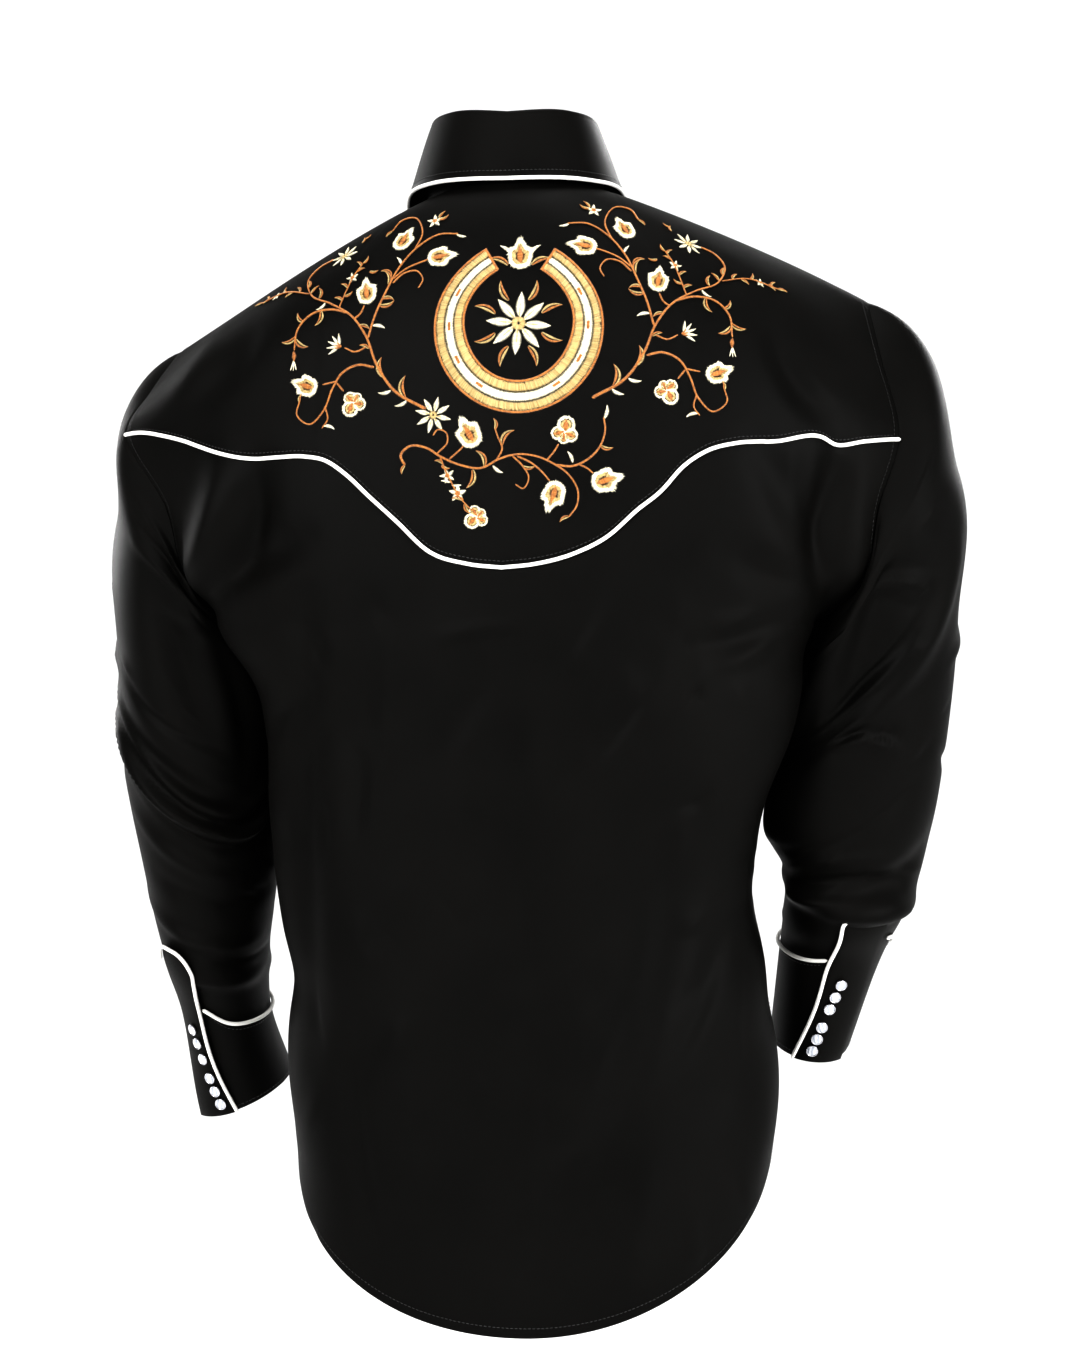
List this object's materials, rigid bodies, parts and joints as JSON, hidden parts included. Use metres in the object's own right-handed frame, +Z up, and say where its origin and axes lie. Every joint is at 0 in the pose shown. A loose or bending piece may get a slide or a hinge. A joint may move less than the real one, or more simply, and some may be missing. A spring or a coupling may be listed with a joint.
{
  "type": "western snap shirt",
  "caption": "Long-sleeved black western shirt, worn and hollow, with a piped smile yoke, embroidered back, piped collar, and long round-topped snap cuffs.",
  "frame": {"origin": "between the wearer's shoulders at the base of the neck, level with the bottom of the collar at the back", "axes": "+Z up the body, -Y to the wearer's front, +Y to the back, +X to the wearer's left"},
  "size_m": [0.6073, 0.2685, 0.8378],
  "materials": {
    "black_cloth": "smooth cotton satin with a soft sheen",
    "white_piping": "white corded piping",
    "pearl_snap": "grey-white pearl in a bright metal rim"
  },
  "bodies": {
    "root": {"back_yoke": "black_cloth", "back_body": "black_cloth", "front_left": "black_cloth", "front_right": "black_cloth", "front_placket": "black_cloth", "collar_stand": "black_cloth", "collar_leaf": "black_cloth", "sleeve_left": "black_cloth", "sleeve_right": "black_cloth", "cuff_left": "black_cloth", "cuff_right": "black_cloth", "cuff_strip_left": "black_cloth", "cuff_strip_right": "black_cloth", "piping_yoke": "white_piping", "piping_collar": "white_piping", "piping_cuff_left": "white_piping", "piping_cuff_right": "white_piping", "piping_strip_left": "white_piping", "piping_strip_right": "white_piping", "snap_front_1": "pearl_snap", "snap_front_2": "pearl_snap", "snap_front_3": "pearl_snap", "snap_front_4": "pearl_snap", "snap_front_5": "pearl_snap", "snap_front_6": "pearl_snap", "snap_front_7": "pearl_snap", "snap_left_1": "pearl_snap", "snap_left_2": "pearl_snap", "snap_left_3": "pearl_snap", "snap_left_4": "pearl_snap", "snap_left_5": "pearl_snap", "snap_left_6": "pearl_snap", "snap_right_1": "pearl_snap", "snap_right_2": "pearl_snap", "snap_right_3": "pearl_snap", "snap_right_4": "pearl_snap", "snap_right_5": "pearl_snap", "snap_right_6": "pearl_snap"}
  },
  "joints": []
}
